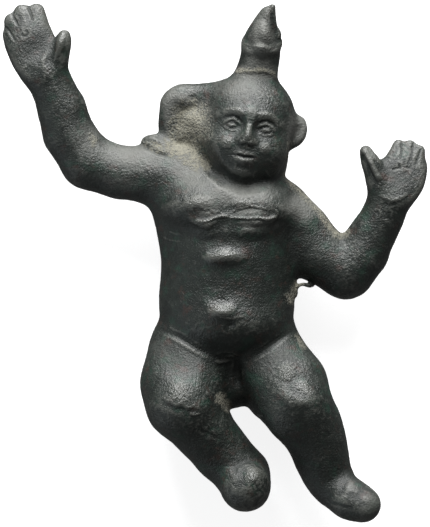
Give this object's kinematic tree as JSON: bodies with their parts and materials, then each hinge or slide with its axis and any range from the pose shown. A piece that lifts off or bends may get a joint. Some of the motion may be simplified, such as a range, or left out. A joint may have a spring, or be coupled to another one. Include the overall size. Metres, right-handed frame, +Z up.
{
  "type": "bronze statuette",
  "caption": "Small solid bronze statuette of a chubby child with raised arms, a pointed crown and a side lock, lying on its back.",
  "frame": {"origin": "under the middle of the figure, on the table that its back lies on", "axes": "+X towards the figure's left, +Y from the feet to the crown, +Z up, out of the breast"},
  "size_m": [0.0744, 0.091, 0.0204],
  "materials": {
    "patinated_bronze": "dark green-grey patina, worn satin, with sandy deposit in the hollows"
  },
  "bodies": {
    "root": {"statuette": "patinated_bronze"}
  },
  "joints": []
}
